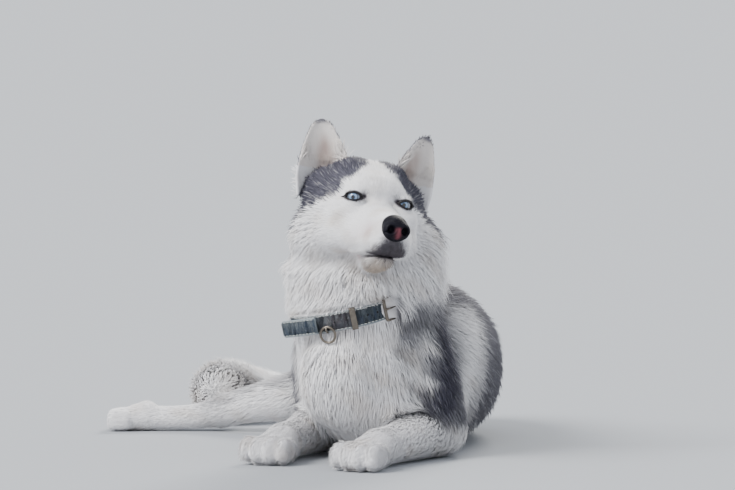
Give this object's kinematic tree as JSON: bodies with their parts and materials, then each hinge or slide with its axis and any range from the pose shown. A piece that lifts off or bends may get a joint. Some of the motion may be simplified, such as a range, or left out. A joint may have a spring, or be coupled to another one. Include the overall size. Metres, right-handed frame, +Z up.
{
  "type": "siberian husky",
  "caption": "Life-size still husky lying on its breastbone with hips rolled over, head raised and turned, bushy tail curled on the floor, with a strap collar.",
  "frame": {"origin": "on the floor under the breastbone, midway between the elbows", "axes": "+Z up; the dog faces -Y and its own left side is towards +X; the fore quarters head 30 degrees towards -X"},
  "size_m": [0.6257, 0.8415, 0.4808],
  "materials": {
    "coat_white": "long soft white coat",
    "coat_grey": "grey guard hairs over a pale undercoat",
    "ear_coat": "short grey ear fur, paler inside",
    "nose_skin": "moist pebbled skin",
    "eye": "wet, pale blue iris",
    "collar_leather": "worn blue-grey strap",
    "collar_metal": "worn nickel"
  },
  "bodies": {
    "root": {"head": "coat_white", "neck": "coat_white", "forearm_left": "coat_white", "forearm_right": "coat_white", "forepaw_left": "coat_white", "forepaw_right": "coat_white", "upper_arm_left": "coat_white", "upper_arm_right": "coat_white", "shank_left": "coat_white", "shank_right": "coat_white", "hind_foot_left": "coat_white", "hind_foot_right": "coat_white", "hind_paw_left": "coat_white", "hind_paw_right": "coat_white", "tail_end": "coat_white", "chest": "coat_grey", "barrel": "coat_grey", "rump": "coat_grey", "thigh_left": "coat_grey", "thigh_right": "coat_grey", "tail_base": "coat_grey", "ear_left": "ear_coat", "ear_right": "ear_coat", "nose": "nose_skin", "eye_left": "eye", "eye_right": "eye", "collar": "collar_leather", "collar_tip": "collar_leather", "collar_buckle": "collar_metal", "collar_keeper": "collar_metal", "d_ring": "collar_metal"}
  },
  "joints": []
}
